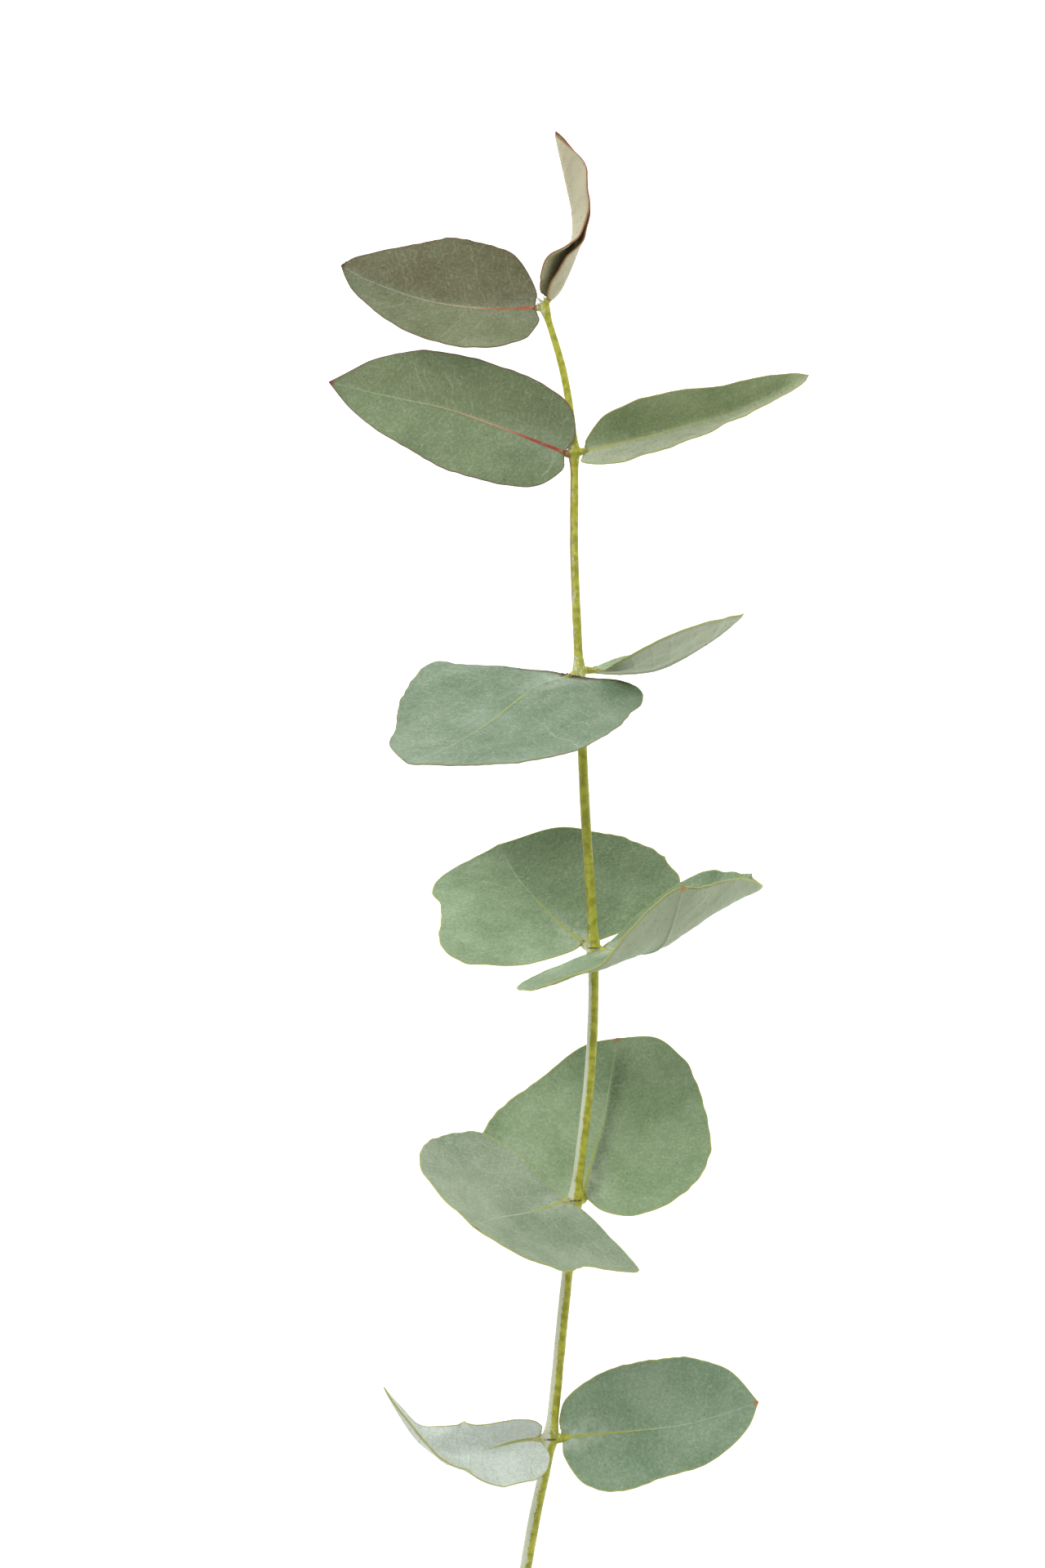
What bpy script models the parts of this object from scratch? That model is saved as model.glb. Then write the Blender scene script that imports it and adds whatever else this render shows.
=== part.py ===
"""A cut branch of silver-leaved eucalyptus, laid down: one stem, six pairs of leaves and a closed tip bud.

+Y runs up the branch from the cut end to the tip, and +Z is up from the surface that it lies on.
The origin is at the middle of the branch's footprint, on that surface. Lengths are in metres.
Pair 1 is the youngest, at the tip, and pair 6 the oldest, near the cut end.
"""

import math

import bmesh
import bpy
import numpy as np
from mathutils import Vector

MM = 0.001

# The stem
CUT_RADIUS = 1.22 * MM
CUT_SLANT = 0.8
TIP_RADIUS = 0.62 * MM
NODE_SWELL = 0.45 * MM
NODE_SWELL_REACH = 2.2 * MM
STEM_STEP = 2.2 * MM
STEM_SIDES = 10
BUD_AIM = (-0.5, 0.8, 0.2)
BUD_LENGTH = 1.9 * MM
BUD_RADIUS = 0.62 * MM

# Where the branch's middle line runs, from the tip to the cut end, with the height of its axis
STEM_ROUTE = [
    (4.3, 94.4, 9),
    (8.3, 80.3, 9.7),
    (10.1, 65.6, 11),
    (10.2, 45.0, 13.5),
    (11.1, 22.1, 17),
    (12.2, -4.0, 20),
    (13.8, -31.7, 21),
    (13.3, -55.0, 19.5),
    (10.4, -81.3, 17),
    (8.0, -104.0, 13.5),
    (5.5, -129.1, 9),
    (2.3, -146.0, 5),
    (-0.3, -161.56, 1.22),
]
# The middle of the footprint of the finished branch, in the route's own coordinates
BRANCH_MIDDLE = (9.25, -16.76)
# The pairs of leaves sit at every second point of the route
PAIR_COUNT = 6

# The leaf stalks, which stay on the stem, and the gap that parts each blade from its stalk
STALK_RADIUS = 0.55 * MM
STALK_SIDES = 8
STALK_BEND = 0.8 * MM
SEAT_GAP = 0.7 * MM

# The blades
BLADE_THICKNESS = 0.66 * MM
RIB_EXTRA = 0.75
RIB_WIDTH = 1.1 * MM
RIB_END = 0.75
FOOT_HALF_WIDTH = 0.8 * MM
STEPS_ALONG = 16
STEPS_ACROSS = 10
VALLEY_START = 0.35
VALLEY_SHARE = 0.3
CURL_STEPS = 20
WAVE_SHARE = 0.007
PRESS = 1.0 * MM
LOWEST_FACE = BLADE_THICKNESS + 0.04 * MM

# Each blade. rib is its midrib's route from its foot to its tip, from the middle of the stem at its pair.
# face is where the upper face looks, as a compass angle from +X towards +Y and a height above level.
# fold lifts a half from flat towards the upper face and cup curls it further on the way to its margin.
# left and right give the margin of each half when flat, as places along the midrib and to its side,
# in mm, from foot to tip. The lists of face, fold and cup run from foot to tip as well.
LEAVES = {
    "leaf_1_left": dict(
        pair=1,
        rib=[(-1.8, -0.3, 0.3), (-11, -0.5, 0.5), (-22.7, 1.1, -1), (-34.4, 5.2, -3), (-40.4, 8.6, -5)],
        face=[(90, 90), (90, 90)],
        left=[(-0.6, 3.5), (2, 8.5), (6.5, 11.6), (12, 12.8), (17.5, 12.2), (24, 10.3), (34, 4.9)],
        right=[(-0.2, 3.5), (3, 10), (7, 12.2), (15, 13.3), (21, 12.8), (29, 9.2), (38, 3.8)],
        fold_left=[43, 42], fold_right=[10, 10],
        cup_left=[15, 15], cup_right=[15, 15],
    ),
    "leaf_1_right": dict(
        pair=1,
        rib=[(0.9, 1.5, 0.6), (3.2, 4.4, 1), (6.1, 11.5, 2),
             (6.1, 17.3, 2.5), (5, 23, 3), (2.3, 34.2, 3)],
        face=[(180, 77), (180, 83), (0, 76), (0, 64), (0, 53), (0, 53)],
        left=[(0.1, 3), (2, 7), (6, 9.6), (11, 10), (17, 9.4), (25, 8.7), (31, 4.2)],
        right=[(0.1, 2.6), (2, 4.8), (6, 5.8), (12, 6.4), (19, 6.4), (27, 5), (32, 2)],
        fold_left=[72, 73, 91, 94, 94], fold_right=[104, 104, 92, 94, 94],
        cup_left=[6, 0, -8], cup_right=[6, 0, -8],
    ),
    "leaf_2_left": dict(
        pair=2,
        rib=[(-1.8, -0.3, 1.2), (-10.1, 3.0, 1), (-24, 8.2, -1.5),
             (-36, 11.2, -6.5), (-48.75, 14.5, -13.2)],
        face=[(90, 90), (90, 90)],
        left=[(-0.8, 3.5), (2.5, 8.2), (8, 10.7), (16, 11.8), (23, 11.6), (35, 8.4), (45, 4.4)],
        right=[(-0.7, 4), (2, 8.8), (7, 11.1), (14, 11.7), (27, 11), (33, 10.2), (43, 6.4)],
        fold_left=[8, 8], fold_right=[14, 12],
        cup_left=[12, 12], cup_right=[12, 12],
    ),
    "leaf_2_right": dict(
        pair=2,
        rib=[(2.1, 0.1, 0), (12.6, 2.4, 0), (22.1, 5.2, -1.5), (33.3, 8.8, -5.5), (47.05, 15.9, -13.4)],
        face=[(90, 90), (90, 90)],
        left=[(1, 2.6), (4.5, 6.8), (9, 9.2), (15, 10), (24, 8.1), (36, 5.7), (46, 2.5)],
        right=[(-1, 3.5), (2.5, 6.5), (8, 8.5), (15, 9), (24, 8), (36, 5.5), (46, 2.4)],
        fold_left=[36, 36], fold_right=[58, 68, 84, 84],
        cup_left=[20, 20], cup_right=[10, 0],
    ),
    "leaf_3_left": dict(
        pair=3,
        rib=[(-2.2, -1, 2.9), (-9, -3.6, 8), (-17.5, -10.2, 16),
             (-25.5, -15.2, 23.5), (-33.1, -18.1, 29.5)],
        face=[(88, 26), (92, 34)],
        left=[(-3.2, 3.9), (-6.6, 9.6), (-5, 16.4), (2.2, 23.4),
              (11, 26.2), (21, 26.3), (31, 21), (38, 10)],
        right=[(0.6, 3.5), (4, 9), (8.5, 20), (10, 25.2), (15, 25), (24, 21.8), (34, 14.5), (42, 8.5)],
        fold_left=[1, 6, 14], fold_right=[-6, -6, -6],
        cup_left=[10, 10], cup_right=[0, 0],
    ),
    "leaf_3_right": dict(
        pair=3,
        rib=[(2.3, 0.5, -1.2), (9.3, 0.1, 1.8), (16.5, 1.2, 5), (25.6, 6.2, 8.5), (31.8, 11, 10.5)],
        face=[(116, 0), (116, 0)],
        left=[(1.2, 4.6), (3.8, 8.8), (9, 14.2), (14, 15), (19.5, 14.2), (25, 11.4), (30, 6.2)],
        right=[(3, 2.6), (7, 8), (12, 14.4), (16, 17), (21, 17), (26, 15), (31, 8.6)],
        fold_left=[7, 7], fold_right=[14, 14],
        cup_left=[5, 5], cup_right=[5, 5],
    ),
    "leaf_4_left": dict(
        pair=4,
        rib=[(-1.8, 0.6, -1.8), (-6.7, 4.5, -6), (-14.2, 12.3, -15), (-18.7, 19.6, -22.8)],
        face=[(90, 45), (90, 50)],
        left=[(-0.2, 3.5), (1.2, 10), (5, 19), (7.5, 24),
              (13, 24.3), (21, 18.2), (24.5, 17.8), (28.5, 12.6)],
        right=[(-1.8, 3.8), (-4.5, 14), (-4.5, 20.5), (-1, 24.2),
               (6, 25.8), (13, 24.4), (25, 19.2), (31.5, 12.5)],
        fold_left=[5, 5], fold_right=[2, 5],
        cup_left=[10, 10], cup_right=[10, 10],
    ),
    "leaf_4_right": dict(
        pair=4,
        rib=[(1.6, -0.4, 2.8), (6.6, -0.6, 12), (12.9, 1.4, 22), (16.7, 12.3, 30)],
        face=[(114, 8), (114, -20), (112, -58)],
        left=[(-0.8, 5), (-1, 13), (2.5, 20.5), (8, 26), (14, 28.6), (20, 29.4), (27, 28), (34, 17)],
        right=[(-3, 6), (-4, 15), (0, 20), (8, 19.6), (14, 17.6), (28, 12), (35, 3.4)],
        fold_left=[12, 14, 18, 22, 32], fold_right=[0, -8, -30],
        cup_left=[10, 10], cup_right=[6, 0],
    ),
    "leaf_5_left": dict(
        pair=5,
        rib=[(-1.8, -0.2, 2.2), (-9.2, -1.9, 10), (-15.4, -2.2, 20), (-19.8, -2.7, 32)],
        face=[(63, 20), (63, 18)],
        left=[(-1.2, 3.5), (-0.5, 11), (1.5, 20.5), (3.2, 23.8), (8, 21.4),
              (14, 18.2), (26, 19), (31.5, 16.8), (35.5, 8.5)],
        right=[(0.3, 6), (0.2, 14), (3, 21), (7, 23.5), (13, 23.7), (20, 21.8), (26, 17), (31, 9)],
        fold_left=[0, 0], fold_right=[0, 0],
        cup_left=[6, 6], cup_right=[10, 10],
    ),
    "leaf_5_right": dict(
        pair=5,
        rib=[(1.6, 0.4, -2.4), (2.7, 4.8, -5.5), (5.8, 15.5, -13), (7.5, 24.5, -18), (8.5, 30.7, -20)],
        face=[(90, 60), (90, 80)],
        left=[(-1.5, 5), (0, 12), (4, 20), (8.5, 22.4), (17, 18.6), (26, 12.4), (33, 6.6)],
        right=[(-2.8, 4.5), (-3, 10.5), (0.5, 17.5), (6, 21.4), (14, 22.5),
               (22, 20), (31, 15.8), (33.8, 13.1), (37, 7.5)],
        fold_left=[0, 5], fold_right=[5, 5],
        cup_left=[8, 8], cup_right=[10, 10],
    ),
    "leaf_6_left": dict(
        pair=6,
        rib=[(-2, -0.1, 1.2), (-6.6, -0.5, 2.2), (-12.7, -2, 3.5),
             (-19.5, -3, 6), (-25.5, 0.8, 10.5), (-32.5, 11.8, 16)],
        face=[(90, 80), (90, 75), (80, 50), (45, 15), (33, 8)],
        left=[(-1.2, 4), (1, 8.2), (6, 10.3), (12, 10.9), (17, 10.7), (21, 8.2), (28, 3.4), (35, 1.8)],
        right=[(0, 3.6), (3, 6.4), (8, 7.9), (14, 8.5), (19, 8), (22.5, 6.4), (28, 3), (35, 1.4)],
        fold_left=[20, 30, 40, 40, 20], fold_right=[55, 60, 60, 30, 15],
        cup_left=[15, 5], cup_right=[15, 5],
    ),
    "leaf_6_right": dict(
        pair=6,
        rib=[(2.4, -0.1, 0.4), (7.6, 0.6, 1), (23.4, 2.2, 1.5), (31.4, 3.8, 1), (41.2, 6.9, 0)],
        face=[(90, 85), (90, 85)],
        left=[(0, 4), (2.5, 8.2), (9, 12.2), (15, 13.4), (22, 13.6), (29, 12.7), (36, 8)],
        right=[(0, 3.8), (2.8, 9), (7.5, 11.4), (12.5, 11.4), (18, 10), (27, 8.4), (35.5, 4.4)],
        fold_left=[6, 6], fold_right=[8, 8],
        cup_left=[8, 8], cup_right=[8, 8],
    ),
}

LEAF_GREEN = (0.33, 0.42, 0.31, 1)
YOUNG_GREEN = (0.27, 0.30, 0.20, 1)
STEM_GREEN = (0.42, 0.45, 0.16, 1)


def clear_scene():
    for obj in list(bpy.data.objects):
        bpy.data.objects.remove(obj)


def new_collection(name):
    collection = bpy.data.collections.new(name)
    bpy.context.scene.collection.children.link(collection)
    return collection


def principled(name, colour, roughness):
    material = bpy.data.materials.new(name)
    material.use_nodes = True
    shader = material.node_tree.nodes["Principled BSDF"]
    shader.inputs["Base Color"].default_value = colour
    shader.inputs["Roughness"].default_value = roughness
    shader.inputs["Metallic"].default_value = 0.0
    return material


def unit(vector):
    return vector / np.linalg.norm(vector)


def smooth_route(points, step):
    """Points a step apart on the smooth curve through the given ones, and the share of the way at each."""
    points = np.array(points, float) * MM
    padded = np.vstack([2 * points[0] - points[1], points, 2 * points[-1] - points[-2]])
    route = []
    for a, b, c, d in zip(padded, padded[1:], padded[2:], padded[3:]):
        count = max(2, round(np.linalg.norm(c - b) / step))
        for t in np.arange(count) / count:
            route.append(
                0.5 * (2 * b + (c - a) * t + (2 * a - 5 * b + 4 * c - d) * t**2
                       + (3 * b - a - 3 * c + d) * t**3)
            )
    route.append(points[-1])
    route = np.array(route)
    run = np.concatenate([[0], np.cumsum(np.linalg.norm(np.diff(route, axis=0), axis=1))])
    return route, run / run[-1]


def centred_route():
    return [(x - BRANCH_MIDDLE[0], y - BRANCH_MIDDLE[1], z) for x, y, z in STEM_ROUTE]


def pair_points():
    """The middle of the stem at each pair of leaves, tip first."""
    return [np.array(centred_route()[2 * i]) * MM for i in range(PAIR_COUNT)]


def stem_radius(share, point):
    """The stem's radius, which grows to the cut end and swells at each pair of leaves."""
    plain = TIP_RADIUS + (CUT_RADIUS - TIP_RADIUS) * share**0.6
    nearest = min(np.linalg.norm(point - p) for p in pair_points())
    return plain + NODE_SWELL * math.exp(-((nearest / NODE_SWELL_REACH) ** 2))


def foot_of(leaf):
    """Where a blade starts, at the end of its stalk."""
    return pair_points()[leaf["pair"] - 1] + np.array(leaf["rib"][0]) * MM


def along_list(shares, values):
    """A list's value at shares of the way from foot to tip, eased between its evenly spaced entries."""
    values = np.array(values, float)
    place = np.clip(shares, 0, 1) * (len(values) - 1)
    low = np.clip(np.floor(place).astype(int), 0, len(values) - 2)
    part = place - low
    part = part * part * (3 - 2 * part)
    if values.ndim == 2:
        part = part[..., None]
    return values[low] * (1 - part) + values[low + 1] * part


def facing(leaf, shares):
    """Where the upper face looks at shares of the midrib."""
    looks = [[math.cos(math.radians(e)) * math.cos(math.radians(h)),
              math.cos(math.radians(e)) * math.sin(math.radians(h)),
              math.sin(math.radians(e))] for h, e in leaf["face"]]
    return along_list(shares, looks)


def rib_frames(leaf, shares):
    """The midrib's points, directions, upper normals and length, at shares of its length from its foot."""
    route, run = smooth_route(leaf["rib"], 0.3 * MM)
    route += pair_points()[leaf["pair"] - 1]
    length = np.sum(np.linalg.norm(np.diff(route, axis=0), axis=1))
    ahead = np.gradient(route, run, axis=0)
    clipped = np.clip(shares, 0, 1)

    def read(values):
        return np.stack([np.interp(clipped, run, values[:, k]) for k in range(3)], axis=-1)

    forward = read(ahead)
    forward /= np.linalg.norm(forward, axis=-1, keepdims=True)
    place = read(route) + (shares - clipped)[..., None] * length * forward
    look = facing(leaf, clipped)
    normal = look - forward * np.sum(look * forward, axis=-1, keepdims=True)
    normal /= np.linalg.norm(normal, axis=-1, keepdims=True)
    return place, forward, normal, length


def half_width(leaf, right):
    """How wide a half is at its widest."""
    widths = [max(side for along, side in leaf[half]) * MM for half in ("left", "right")]
    return np.where(right, widths[1], widths[0])


def blade_outline(leaf, length, u, right):
    """A flat blade at u from foot to tip: how far along its midrib, and where its margin is.

    The margin of each half is a smooth line from the foot through the half's own points to the tip.
    """
    rib_along = length * (1 - np.cos(np.pi * u)) / 2
    margins = []
    for half in ("left", "right"):
        start = unit(np.array(leaf[half][0], float)) * FOOT_HALF_WIDTH / MM
        points = [start, *leaf[half], (length / MM, 0)]
        line, run = smooth_route(points, 0.3 * MM)
        margins.append([np.interp(u, run, line[:, k]) for k in range(2)])
    along, side = [np.where(right, of_right, of_left) for of_left, of_right in zip(*margins)]
    return rib_along, along, np.maximum(side, 0)


def settled(points):
    """Points pressed onto the surface where a blade would reach below it."""
    height = points[..., 2] - LOWEST_FACE
    soft = np.clip((height + PRESS) / (2 * PRESS), 0, 1) ** 2 * PRESS
    points[..., 2] = LOWEST_FACE + np.where(height > PRESS, height, soft)
    return points


def blade_surface(leaf, u, v, seed):
    """Points of the blade's upper face, for u from foot to tip and v from -1, left margin, to 1, right."""
    length = rib_frames(leaf, np.zeros(1))[3]
    right_half = v > 0
    rib_along, margin_along, side = blade_outline(leaf, length, u, right_half)
    rng = np.random.default_rng(seed)
    phases = rng.uniform(0, 2 * np.pi, (3, 2))
    crinkle = sum(
        np.sin(2 * np.pi * k * u + phases[i][right_half.astype(int)]) / (i + 1)
        for i, k in enumerate((2, 3, 5))
    )
    reach = np.abs(v)
    side = side * (1 + WAVE_SHARE * crinkle * np.sin(np.pi * u))
    along = rib_along + (margin_along - rib_along) * reach
    across = side * reach
    share = along / length
    place, ahead, normal, length = rib_frames(leaf, share)
    right = np.cross(ahead, normal)
    fold = np.radians(np.where(
        right_half, along_list(share, leaf["fold_right"]), along_list(share, leaf["fold_left"])
    ))
    half = half_width(leaf, right_half)
    cup = np.radians(np.where(
        right_half, along_list(share, leaf["cup_right"]), along_list(share, leaf["cup_left"])
    ))
    # A half leaves the midrib at part of its fold, reaches all of it in a rounded valley, then cups
    steps = np.linspace(0, 1, CURL_STEPS)[:, None] * across / half
    valley = np.clip(steps / VALLEY_SHARE, 0, 1)
    angle = fold * (VALLEY_START + (1 - VALLEY_START) * valley * (2 - valley)) + cup * steps
    stride = across / (CURL_STEPS - 1)
    out = (np.cos(angle[1:]) + np.cos(angle[:-1])).sum(axis=0) / 2 * stride
    lift = (np.sin(angle[1:]) + np.sin(angle[:-1])).sum(axis=0) / 2 * stride
    hand = np.sign(v)
    points = place + right * (hand * out)[..., None] + normal * lift[..., None]
    return settled(points)


def tube(name, route, radii, sides, slant=0.0):
    """A closed round bar along a route, with its last end cut at a slant."""
    curve = bpy.data.curves.new(name, "CURVE")
    curve.dimensions = "3D"
    curve.bevel_depth = MM
    curve.bevel_resolution = sides // 2 - 2
    curve.use_fill_caps = True
    spline = curve.splines.new("POLY")
    spline.points.add(len(route) - 1)
    for point, place, radius in zip(spline.points, route, radii):
        point.co = (*place, 1.0)
        point.radius = radius / MM
    guide = bpy.data.objects.new(name + "_route", curve)
    bpy.context.scene.collection.objects.link(guide)
    graph = bpy.context.evaluated_depsgraph_get()
    mesh = bpy.data.meshes.new_from_object(guide.evaluated_get(graph))
    bpy.data.objects.remove(guide)
    shape = bmesh.new()
    shape.from_mesh(mesh)
    bmesh.ops.remove_doubles(shape, verts=shape.verts, dist=0.001 * MM)
    end = Vector(route[-1])
    ahead = Vector(unit(route[-1] - route[-2]))
    side = ahead.cross(Vector((0, 0, 1))).normalized()
    for vert in shape.verts:
        if (vert.co - end).dot(ahead) > -0.3 * MM:
            vert.co += ahead * slant * (vert.co - end).dot(side)
    bmesh.ops.recalc_face_normals(shape, faces=shape.faces)
    shape.to_mesh(mesh)
    shape.free()
    mesh.name = name
    return mesh


def make_stem(collection, cutters, material):
    """The stem, with a rounded bud on its tip and a slanting cut at its foot."""
    route, share = smooth_route(centred_route(), STEM_STEP)
    radii = np.array([stem_radius(s, p) for s, p in zip(share, route)])
    bud_ahead = unit(np.array(BUD_AIM))
    bud = [route[0] + bud_ahead * BUD_LENGTH * t for t in (1.0, 0.94, 0.75, 0.5, 0.25)]
    bud_radii = [BUD_RADIUS * r for r in (0.12, 0.45, 0.85, 1.0, 0.95)]
    route = np.vstack([bud, route])
    radii = np.concatenate([bud_radii, radii])
    stem = bpy.data.objects.new("stem", tube("stem", route, radii, STEM_SIDES, CUT_SLANT))
    collection.objects.link(stem)
    stem.data.materials.append(material)
    for name, leaf in LEAVES.items():
        start = pair_points()[leaf["pair"] - 1]
        aim = rib_frames(leaf, np.zeros(1))[1][0]
        end = foot_of(leaf) - aim * SEAT_GAP
        bend = end - aim * STALK_BEND
        stalk_route = np.array([start, (start + bend) / 2, bend, end])
        thick = STALK_RADIUS * (1 + 0.1 * leaf["pair"])
        stalk = bpy.data.objects.new(
            "stalk_of_" + name,
            tube("stalk_of_" + name, stalk_route, [thick * r for r in (1.4, 1.25, 1.1, 0.8)], STALK_SIDES),
        )
        cutters.objects.link(stalk)
        add_boolean(stem, stalk, "UNION")
    return stem


def add_boolean(obj, tool, operation):
    modifier = obj.modifiers.new(tool.name, "BOOLEAN")
    modifier.operation = operation
    modifier.solver = "EXACT"
    modifier.object = tool


def make_leaf(name, leaf, seed, collection, material):
    grid = bmesh.new()
    bmesh.ops.create_grid(
        grid, x_segments=STEPS_ALONG, y_segments=STEPS_ACROSS, size=1.0
    )
    flat = np.array([v.co for v in grid.verts])
    u = (flat[:, 0] + 1) / 2
    v = flat[:, 1]
    v = np.where(np.abs(v) < 1e-6, 0.0, v)
    points = blade_surface(leaf, u, v, seed)
    for vert, point in zip(grid.verts, points):
        vert.co = Vector(point)
    bmesh.ops.reverse_faces(grid, faces=grid.faces)
    bmesh.ops.triangulate(grid, faces=grid.faces)
    from_rib = np.abs(v) * half_width(leaf, v > 0)
    weights = RIB_EXTRA * np.exp(-((from_rib / RIB_WIDTH) ** 2)) * np.clip(1 - u / RIB_END, 0, 1)
    mesh = bpy.data.meshes.new(name)
    grid.to_mesh(mesh)
    grid.free()
    obj = bpy.data.objects.new(name, mesh)
    collection.objects.link(obj)
    mesh.materials.append(material)
    group = obj.vertex_groups.new(name="rib")
    top = 1 + RIB_EXTRA
    for index, weight in enumerate(weights):
        group.add([index], (1 + weight) / top, "REPLACE")
    weld = obj.modifiers.new("tip", "WELD")
    weld.merge_threshold = 0.02 * MM
    solid = obj.modifiers.new("blade", "SOLIDIFY")
    solid.thickness = BLADE_THICKNESS * top
    solid.offset = -1
    solid.vertex_group = "rib"
    solid.thickness_vertex_group = 0.0
    mesh.shade_smooth()
    return obj


def main():
    clear_scene()
    branch = new_collection("eucalyptus_branch")
    cutters = new_collection("cutters")
    cutters.hide_render = True
    leaf_green = principled("leaf_green", LEAF_GREEN, 0.6)
    young_green = principled("young_leaf", YOUNG_GREEN, 0.6)
    for seed, (name, leaf) in enumerate(LEAVES.items()):
        material = young_green if leaf["pair"] < 3 else leaf_green
        make_leaf(name, leaf, seed, branch, material)
    make_stem(branch, cutters, principled("stem_green", STEM_GREEN, 0.6))


if __name__ == "__main__":
    main()
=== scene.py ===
# %% [markdown]
# # A cut eucalyptus branch, lying down
# The branch has one slender stem, a tiny closed bud at its tip and six pairs of leaves without teeth.
# Its leaves are waxy: grey-green above, paler below, with a thin coloured margin and a pale midrib.
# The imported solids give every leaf's place, size and bend. This file makes each one again as a finer
# surface, with thinner blades, a raised midrib and veins, and gives it its colours.

import bpy
import numpy as np
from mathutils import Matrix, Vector


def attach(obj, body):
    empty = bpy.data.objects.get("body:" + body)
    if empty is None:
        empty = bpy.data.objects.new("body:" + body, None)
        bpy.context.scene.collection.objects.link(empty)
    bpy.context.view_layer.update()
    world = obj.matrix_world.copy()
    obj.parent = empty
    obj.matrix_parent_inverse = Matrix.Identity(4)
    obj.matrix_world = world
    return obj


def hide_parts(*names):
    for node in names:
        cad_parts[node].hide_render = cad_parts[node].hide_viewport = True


MM = 0.001
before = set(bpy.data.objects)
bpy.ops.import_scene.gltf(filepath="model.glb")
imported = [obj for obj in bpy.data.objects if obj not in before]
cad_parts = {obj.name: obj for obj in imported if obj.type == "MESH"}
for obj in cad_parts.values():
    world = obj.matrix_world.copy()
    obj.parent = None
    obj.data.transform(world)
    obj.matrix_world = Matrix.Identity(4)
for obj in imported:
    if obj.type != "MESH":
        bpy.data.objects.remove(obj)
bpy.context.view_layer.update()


def new_object(name, data):
    """An object with the given data, linked into the scene."""
    made = bpy.data.objects.new(name, data)
    bpy.context.scene.collection.objects.link(made)
    return made


def new_finish(name):
    """An empty material, its node tree and its shader."""
    material = bpy.data.materials.new(name)
    material.use_nodes = True
    return material, material.node_tree, material.node_tree.nodes["Principled BSDF"]


print("solids:", ", ".join(sorted(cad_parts)))

# %% [markdown]
# The camera comes first, because everything else is judged through it. It looks straight down on the
# branch from about a metre up with a long lens, so leaves near it are hardly larger than those on the
# surface. The branch runs out of the lower edge of the picture, a little before its cut end.

# %% Place the camera
CAMERA_PLACE = (-0.00925, 0.01676, 1.042)
LENS_MM = 120
SENSOR_MM = 36

overhead = new_object("overhead_camera", bpy.data.cameras.new("overhead_camera"))
overhead.data.lens = LENS_MM
overhead.data.sensor_width = SENSOR_MM
overhead.data.clip_start = 0.01
overhead.data.clip_end = 50
overhead.location = CAMERA_PLACE
bpy.context.scene.camera = overhead
print("camera at", tuple(overhead.location))

# %% [markdown]
# The light is that of a white tent: an even white surround, one broad soft light from beyond the tip
# and a little from the left, and a white surface that glows faintly, so that it shows hardly a shadow.

# %% Light the branch and lay the surface
KEY_PLACE = (-0.55, 0.95, 1.15)
KEY_SIZE = 0.9
KEY_POWER = 9.0
SURROUND = 0.62
SURFACE_HALF = 3
SURFACE_DROP = 0.00005
SURFACE_GLOW = 0.85
PURE_WHITE = (1.0, 1.0, 1.0, 1.0)

world = bpy.data.worlds.new("white_tent")
bpy.context.scene.world = world
world.use_nodes = True
background = world.node_tree.nodes["Background"]
background.inputs["Color"].default_value = PURE_WHITE
background.inputs["Strength"].default_value = SURROUND
bpy.context.scene.view_settings.view_transform = "Standard"

key = new_object("key_light", bpy.data.lights.new("key_light", "AREA"))
key.data.shape = "DISK"
key.data.size = KEY_SIZE
key.data.energy = KEY_POWER
key.location = KEY_PLACE
key.rotation_euler = (-Vector(KEY_PLACE)).to_track_quat("-Z", "Y").to_euler()

surface_mesh = bpy.data.meshes.new("surface")
corners = [(-1, -1), (1, -1), (1, 1), (-1, 1)]
surface_mesh.from_pydata(
    [(x * SURFACE_HALF, y * SURFACE_HALF, -SURFACE_DROP) for x, y in corners], [], [(0, 1, 2, 3)]
)
surface = new_object("surface", surface_mesh)
white, _, shader = new_finish("white_surface")
shader.inputs["Base Color"].default_value = (0.9, 0.9, 0.9, 1.0)
shader.inputs["Roughness"].default_value = 0.9
shader.inputs["Emission Color"].default_value = PURE_WHITE
shader.inputs["Emission Strength"].default_value = SURFACE_GLOW
surface_mesh.materials.append(white)
print("surround, key light and surface are in place")

# %% [markdown]
# The stem is one smooth curve through points chosen along the branch, from its tip to its cut end.
# Pairs of leaves sit at every second point. The curve is a Catmull-Rom one, which passes through each
# of its points. All lengths are in millimetres until a mesh is made.

# %% The stem's route
BRANCH_MIDDLE = (9.25, -16.76)
STEM_ROUTE = [
    (4.3, 94.4, 9),
    (8.3, 80.3, 9.7),
    (10.1, 65.6, 11),
    (10.2, 45.0, 13.5),
    (11.1, 22.1, 17),
    (12.2, -4.0, 20),
    (13.8, -31.7, 21),
    (13.3, -55.0, 19.5),
    (10.4, -81.3, 17),
    (8.0, -104.0, 13.5),
    (5.5, -129.1, 9),
    (2.3, -146.0, 5),
    (-0.3, -161.56, 1.22),
]
STEM_POINTS = np.array(STEM_ROUTE, float) - (*BRANCH_MIDDLE, 0.0)
PAIR_POINTS = STEM_POINTS[0:12:2]


def unit(vectors):
    """Each vector divided by its own length."""
    return vectors / np.maximum(np.linalg.norm(vectors, axis=-1, keepdims=True), 1e-12)


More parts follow.
